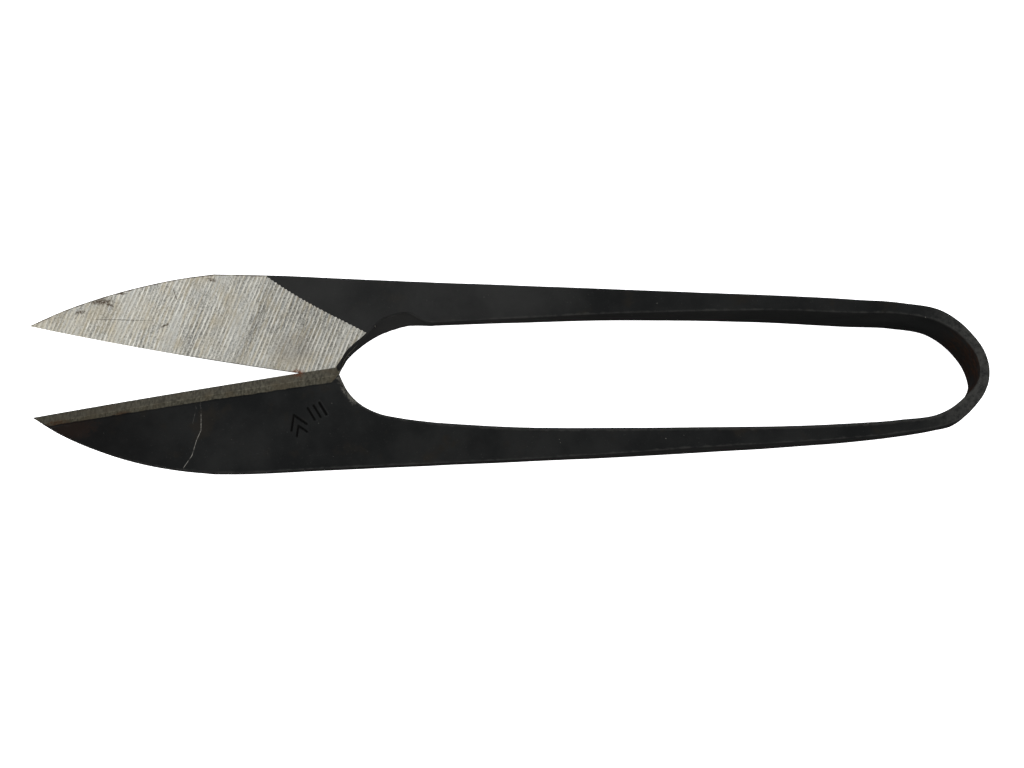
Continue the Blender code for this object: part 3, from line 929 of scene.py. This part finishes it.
SPOT_BROWN, SPECK_DARK = (0.036, 0.023, 0.013), (0.10, 0.085, 0.065)

# Places on the bevel are x, y and z; on the steel face, distances along and from the cutting edge.
BEVEL_STAINS = [
    ((-49.3, -5.6, MID_Z + 1.0), (1.1, 0.45, 2.0), 10.0),
    ((-47.4, -5.6, MID_Z + 1.2), (0.5, 0.25, 2.0), 10.0),
    ((-42.2, -4.55, MID_Z + 1.2), (0.9, 0.3, 2.0), 10.0),
]
FACE_STAINS = [
    ((27.4, 4.30, 0.0), (1.15, 0.30, 1.0), -12.0),
    ((26.7, 4.30, 0.0), (0.70, 0.22, 1.0), 25.0),
    ((29.5, 2.65, 0.0), (0.50, 0.20, 1.0), -20.0),
    ((19.95, 3.0, 0.0), (0.46, 0.12, 1.0), -35.0),
    ((25.45, 5.62, 0.0), (0.6, 0.13, 1.0), -8.0),
    ((15.8, 8.9, 0.0), (0.5, 0.16, 1.0), 10.0),
    ((19.5, 6.6, 0.0), (0.6, 0.07, 1.0), 60.0),
    ((24.6, 2.75, 0.0), (3.2, 0.045, 1.0), -9.5, 0.5),  # a fine scratch
]


def black_scale(n, where):
    """Colour, roughness, metallic value and height of forge scale, worn at the corners."""
    x, y, z = (n.axis(where, name) for name in "XYZ")
    cloud = n.grain(where, 7.0, 4, 0.6)
    colour = n.mix(n.ramp(cloud, 0.35, 0.68), SCALE_DARK, SCALE_LIGHT)
    patches = n.ramp(n.grain(where, 3.2, 3, 0.6, seed=31.0), 0.56, 0.72)
    colour = n.tint(colour, SCALE_BROWN, patches, 0.6)
    at_neck = n.times(n.ramp(y, 1.0, 5.0), n.ramp(x, 14.0, -2.0))
    colour = n.tint(colour, SCALE_GREY, n.times(at_neck, n.number(cloud, 0.1, 0.9)))
    bow_top = n.times(n.ramp(x, 44.0, 51.0), n.ramp(z, MID_Z + 3.4, MID_Z + 3.9))
    rubbed = n.ramp(n.grain(where, 0.8, 5, 0.75, seed=37.0), 0.30, 0.62)
    colour = n.tint(colour, WORN_IRON, n.times(bow_top, rubbed))
    specks = n.ramp(n.grain(where, 0.16, 1, 0.5, seed=7.0), 0.70, 0.78)
    colour = n.tint(colour, WORN_IRON, specks, 0.45)
    bright = n.ramp(n.grain(where, 0.33, 1, 0.5, seed=17.0), 0.80, 0.86)
    colour = n.tint(colour, BARE_IRON, bright, 0.5)
    wear = n.ramp(n.plus(n.carried("from_corner_mm"), n.jitter(0.7, where, 0.8, 4, 0.7)), 0.24, 0.0)
    colour = n.tint(colour, WORN_IRON, wear, 0.55)
    # Painted light: the side walls are tinted a lighter grey, more along the arms than round the bow.
    wall = n.carried("side_wall")
    outside_bow = n.ramp(x, 47.0, 40.0)
    colour = n.tint(colour, WALL_PAINTED_LIGHT, n.times(wall, n.number(outside_bow, 0.14, 0.32)))
    rust_grain = n.ramp(n.grain(where, 0.7, 4, 0.7, seed=3.0), 0.4, 0.7)
    colour = n.tint(colour, n.mix(rust_grain, BOW_RUST_DARK, BOW_RUST_BRIGHT), bow_rust(n, where, x))
    stamped = n.carried("stamped_mm")
    # Painted shade in the stamp's chisel cuts, and a painted highlight on the metal pushed up beside them.
    colour = n.tint(colour, NEAR_BLACK, n.ramp(stamped, 0.01, 0.09), 0.85)
    colour = n.tint(colour, SCALE_GREY, n.ramp(stamped, -0.012, -0.05), 0.35)
    height = n.plus(n.times(n.grain(where, 0.22, 3, 0.65), 0.4), n.grain(where, 0.9, 3, 0.55, seed=5.0))
    rough = n.number(n.grain(where, 1.6, 3, 0.6, seed=13.0), 0.45, 0.66)
    rough = n.math("ADD", rough, n.times(wall, 0.32), clamp=True)
    return colour, rough, n.number(wear, 0.0, 0.25), height


def bow_rust(n, where, x):
    """How rusty the bar is: only on the bow's inner wall, strongest just below its top."""
    round_bow = n.spot(where, (50.2, 0.2, MID_Z), (4.5, 4.5, 4.5), ragged=1.0)
    inner = n.ramp(n.carried("inner_wall"), 0.5, 1.0)
    mottle = n.ramp(n.grain(where, 1.1, 4, 0.65, seed=23.0), 0.30, 0.62)
    amount = n.times(n.times(n.ramp(x, 46.5, 50.0), inner), mottle)
    return n.times(amount, n.number(round_bow, 0.35, 0.95))


def ground_bevel(n, where):
    """Colour, roughness and height of the brownish ground bevel."""
    lines = n.grain(where, 0.22, 2, 0.6, stretch=(1.0, 0.35, 0.35), seed=41.0)
    broad = n.grain(where, 2.6, 3, 0.6, seed=43.0)
    colour = n.mix(n.ramp(lines, 0.3, 0.7), BEVEL_DARK, BEVEL_LIGHT)
    colour = n.tint(colour, BEVEL_WARM, n.ramp(broad, 0.42, 0.66), 0.6)
    colour = n.tint(colour, BEVEL_SMOKE, n.ramp(n.axis(where, "X"), -30.0, -50.0), 0.28)
    speckle = n.ramp(n.grain(where, 0.22, 3, 0.7, seed=71.0), 0.40, 0.58)
    stains = n.spots(where, BEVEL_STAINS)
    colour = n.tint(colour, STAIN_BROWN, n.times(stains, n.number(speckle, 0.3, 0.8)))
    crossing = n.spot(where, (-23.1, -0.05, MID_Z), (0.62, 0.40, 2.0))
    colour = n.tint(colour, CROSSING_RUST, n.times(crossing, n.number(speckle, 0.2, 0.95)))
    return colour, n.number(broad, 0.34, 0.5), lines


def iron_material():
    """Forge scale all over, with the ground bevel along the cutting edge and the scratches."""
    n = Nodes(bpy.data.materials.new("forged_iron"))
    where = n.place()
    colour, rough, metal, height = black_scale(n, where)
    ground_colour, ground_rough, _ = ground_bevel(n, where)
    waver = n.jitter(0.35, where, 1.3, 4, 0.7)
    ground = n.ramp(n.plus(n.carried("ground_mm"), waver), -0.035, 0.035)
    # Darker towards the tips.
    colour = n.tint(colour, NEAR_BLACK, n.ramp(n.axis(where, "X"), -32.0, -46.0), 0.55)
    tip_stain = n.spot(where, (-47.6, -6.3, MID_Z + 1.5), (2.4, 1.0, 2.0), 12.0)
    colour = n.tint(colour, RUST_DARK, tip_stain, 0.28)
    broken = n.ramp(n.grain(where, 0.7, 4, 0.7, seed=51.0), 0.38, 0.66)
    for name, strength, half_width in (("scratch_mm", 0.6, 0.038), ("second_scratch_mm", 0.14, 0.035)):
        away = n.math("ABSOLUTE", n.carried(name))
        line = n.times(n.ramp(away, half_width * 1.4, half_width * 0.4), broken)
        colour = n.tint(colour, BARE_IRON, line, strength)
    frayed = n.jitter(2.2, where, 0.45, 4, 0.75, seed=57.0)
    strip = n.ramp(n.plus(n.carried("throat_wear_mm"), frayed), 0.05, 0.5)
    colour = n.tint(colour, STRIP_GREY, strip, 0.75)
    colour = n.tint(colour, ground_colour, ground)
    rough = n.plus(n.times(rough, n.math("SUBTRACT", 1.0, ground)), n.times(ground_rough, ground))
    metal = n.math("MAXIMUM", metal, n.times(ground, BEVEL_METAL))
    return n.finish(SCALE_SPECULAR, colour, rough, metal, n.bumped(height, 0.02, 0.8))


def face_material():
    """The ground steel face: lines across it, broad light and dark bands, stains, specks and scratches."""
    n = Nodes(bpy.data.materials.new("ground_face"))
    along, across = n.carried("along_edge_mm"), n.carried("from_edge_mm")
    flat = n.add("CombineXYZ", {"X": along, "Y": across}).outputs["Vector"]
    on_lines = n.add("CombineXYZ", {"X": n.carried("along_lines_mm"), "Y": across}).outputs["Vector"]
    bands = n.grain(on_lines, 2.6, 3, 0.6, stretch=(1.0, 0.22, 1.0), seed=19.0)
    clouds = n.grain(flat, 4.0, 4, 0.6, seed=29.0)
    hairs = n.grain(on_lines, 0.11, 2, 0.6, stretch=(1.0, 0.14, 1.0), seed=9.0)
    pits = n.grain(flat, 0.16, 2, 0.7, stretch=(1.0, 0.8, 1.0), seed=15.0)
    breaks = n.jitter(2.2, on_lines, 0.34, 4, 0.7, stretch=(1.0, 0.35, 1.0), seed=11.0)
    line = n.carried("line_height")
    # Painted highlight along the crests of the grinding lines.
    crest_highlight = n.ramp(n.plus(line, breaks), 0.25, 1.05)
    tone = n.plus(n.times(hairs, 0.5), n.times(pits, 0.75))
    # The line height also lightens the tone a little: painted light.
    tone = n.plus(n.plus(tone, n.times(bands, 0.55)), n.times(line, 0.05))
    colour = n.mix(n.ramp(tone, 0.62, 1.10), FACE_DARK, FACE_LIGHT)
    crest_highlight = n.times(crest_highlight, n.number(n.ramp(along, 34.0, 6.0), 0.60, 0.68))
    colour = n.tint(colour, FACE_CREST_HIGHLIGHT, crest_highlight)
    hue = n.grain(on_lines, 0.30, 2, 0.6, stretch=(1.0, 0.10, 1.0), seed=33.0)
    colour = n.tint(colour, FACE_WARM, n.ramp(hue, 0.53, 0.63), 0.45)
    colour = n.tint(colour, FACE_COOL, n.ramp(hue, 0.46, 0.34), 0.35)
    warm = n.plus(clouds, n.times(n.ramp(along, 10.0, 30.0), 0.10))
    colour = n.tint(colour, FACE_WARM, n.ramp(warm, 0.50, 0.70), 0.40)
    colour = n.tint(colour, FACE_COOL, n.ramp(bands, 0.52, 0.66), 0.3)
    colour = n.tint(colour, FACE_DARK, n.ramp(along, 26.0, 2.0), 0.20)
    smudge = n.spot(flat, (5.4, 2.7, 0.0), (2.4, 1.7, 1.0))
    colour = n.tint(colour, SPECK_DARK, smudge, 0.28)
    specks = n.ramp(n.grain(flat, 0.17, 1, 0.5, seed=61.0), 0.69, 0.76)
    colour = n.tint(colour, SPECK_DARK, specks, 0.6)
    speckle = n.ramp(n.grain(flat, 0.22, 3, 0.7, seed=71.0), 0.38, 0.54)
    stains = n.times(n.spots(flat, FACE_STAINS), n.number(speckle, 0.35, 1.0))
    colour = n.tint(colour, SPOT_BROWN, stains, 0.9)
    crossing = n.spot(flat, (4.50, 0.10, 0.0), (0.62, 0.34, 1.0))
    colour = n.tint(colour, CROSSING_RUST, n.times(crossing, n.number(speckle, 0.25, 0.9)))
    edge_line = n.times(n.ramp(across, 0.13, 0.03), n.ramp(along, 24.0, 12.0))
    colour = n.tint(colour, EDGE_SHADE, edge_line, 0.85)
    to_spine = n.plus(n.carried("to_spine_mm"), n.jitter(0.7, flat, 0.9, 5, 0.75))
    colour = n.tint(colour, SPOT_BROWN, n.ramp(to_spine, 0.22, 0.06), 0.85)
    height = n.plus(n.times(pits, 0.6), n.times(hairs, 0.6))
    normal = n.bumped(height, 0.012, 0.7)
    return n.finish(FACE_SPECULAR, colour, n.number(bands, 0.34, 0.5), FACE_METAL, normal)


def steel_bevel_material():
    n = Nodes(bpy.data.materials.new("ground_bevel"))
    colour, rough, height = ground_bevel(n, n.place())
    return n.finish(BEVEL_SPECULAR, colour, rough, BEVEL_METAL, n.bumped(height, 0.01, 0.6))


def scale_material():
    n = Nodes(bpy.data.materials.new("forge_scale"))
    colour, rough, metal, height = black_scale(n, n.place())
    return n.finish(SCALE_SPECULAR, colour, rough, metal, n.bumped(height, 0.02, 0.8))


IRON = iron_material()
STEEL = face_material(), steel_bevel_material(), scale_material()
for half in ("upper", "lower"):
    for piece in ("forging", "bow"):
        PIECES[f"{half}_{piece}"].data.materials.append(IRON)
    for made in STEEL:
        PIECES[f"{half}_blade_steel"].data.materials.append(made)

# -------- bodies: the steel faces go on their halves, and the CAD parts are hidden


for half, bow_top, leaf_end, leaf_start, arm_start in (
    ("upper", (51.90, 0.05), (44.6, 6.3), (42.0, 6.3), (32.0, 7.2)),
    ("lower", (51.50, -2.20), (44.6, -5.8), (42.0, -5.8), (32.0, -6.8)),
):
    forged, bent, steel = (PIECES[f"{half}_{piece}"] for piece in ("forging", "bow", "blade_steel"))
    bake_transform(forged)
    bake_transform(bent)
    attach(steel, f"{half}_half")
    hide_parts(f"{half}_handle_arm", f"{half}_blade_iron_back")
    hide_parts(f"{half}_spring_leaf", "spring_bow_crown")
    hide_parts(f"{half}_blade_steel_face")

# -------- floor, light and camera

CENTRE = Vector((0.52, -1.06, 4.0)) * MM
CAMERA_TILT = math.radians(7.7)
CAMERA_DISTANCE, CAMERA_LENS = 0.300, 95.66
FLOOR_SIZE, FLOOR_STEPS = 3.0, 24
FLOOR_SLOPE = 1.8 / 68.0
FLOOR_TOUCHES_X, FLOOR_GAP = 36.0 * MM, 0.12 * MM
FLOOR_GLOW = 1.0  # the floor is a light table, so that the object's shadow on it stays faint
WHITE = (1, 1, 1)
LIGHTS = [
    # name, place, size, power
    ("left_softbox", (-0.55, 0.06, 0.30), (0.45, 0.6), 3.0),
    ("right_softbox", (0.55, -0.06, 0.34), (0.5, 0.7), 1.7),
    ("top_softbox", (-0.10, 0.35, 0.75), (0.9, 0.5), 2.2),
    ("front_fill", (0.05, -0.60, 0.45), (0.8, 0.4), 2.0),
]
ROOM_BELOW, ROOM_ABOVE = 0.16, 0.53  # how bright the room is under the table's level and over it


def make_floor():
    """A pale floor, tilted to lie just under the leaves' lower edges and the blades' backs."""
    ticks = [(i / FLOOR_STEPS - 0.5) * FLOOR_SIZE for i in range(FLOOR_STEPS + 1)]
    verts = [(x, y, FLOOR_SLOPE * (FLOOR_TOUCHES_X - x) - FLOOR_GAP) for x in ticks for y in ticks]
    row = FLOOR_STEPS + 1
    corners = [i * row + j for i in range(FLOOR_STEPS) for j in range(FLOOR_STEPS)]
    faces = [(k, k + row, k + row + 1, k + 1) for k in corners]
    mesh = bpy.data.meshes.new("floor")
    mesh.from_pydata(verts, [], faces)
    floor = linked("floor", mesh)
    n = Nodes(bpy.data.materials.new("floor_paint"))
    tone = n.grain(n.add("TexCoord").outputs["Object"], 30.0, 3, 0.5)
    colour = n.mix(tone, (0.92, 0.92, 0.92), (0.95, 0.95, 0.95))
    mesh.materials.append(n.finish(0.2, colour, 0.9, 0.0, n.bumped(tone, 0.05, 0.1)))
    shader = n.tree.nodes["Principled BSDF"]
    n.put(shader.inputs["Emission Color"], (*WHITE, 1))
    n.put(shader.inputs["Emission Strength"], FLOOR_GLOW)
    floor.visible_diffuse = False
    floor.visible_glossy = False


def area_light(name, place, size, power):
    light = bpy.data.lights.new(name, "AREA")
    light.shape = "RECTANGLE"
    light.size, light.size_y = size
    light.energy = power
    light.color = WHITE
    obj = linked(name, light)
    obj.location = place
    obj.rotation_euler = (CENTRE - Vector(place)).to_track_quat("-Z", "Y").to_euler()


def make_camera():
    camera = bpy.data.cameras.new("camera")
    camera.lens = CAMERA_LENS
    camera.sensor_width = 36.0
    camera.clip_start, camera.clip_end = 0.01, 20.0
    obj = linked("camera", camera)
    away = Vector((0, -math.sin(CAMERA_TILT), math.cos(CAMERA_TILT)))
    obj.location = CENTRE + away * CAMERA_DISTANCE
    obj.rotation_euler = (CAMERA_TILT, 0, 0)
    bpy.context.scene.camera = obj


def make_room():
    """A white room, dimmer under the table's level, so that little light comes from below."""
    n = Nodes(bpy.data.worlds.new("studio"))
    height = n.axis(n.add("TexCoord").outputs["Generated"], "Z")
    background = n.tree.nodes["Background"]
    n.put(background.inputs["Color"], (*WHITE, 1))
    n.put(background.inputs["Strength"], n.number(n.ramp(height, -0.25, 0.20), ROOM_BELOW, ROOM_ABOVE))
    bpy.context.scene.world = n.owner


make_floor()
for light in LIGHTS:
    area_light(*light)
make_room()
bpy.context.scene.view_settings.view_transform = "Standard"
make_camera()
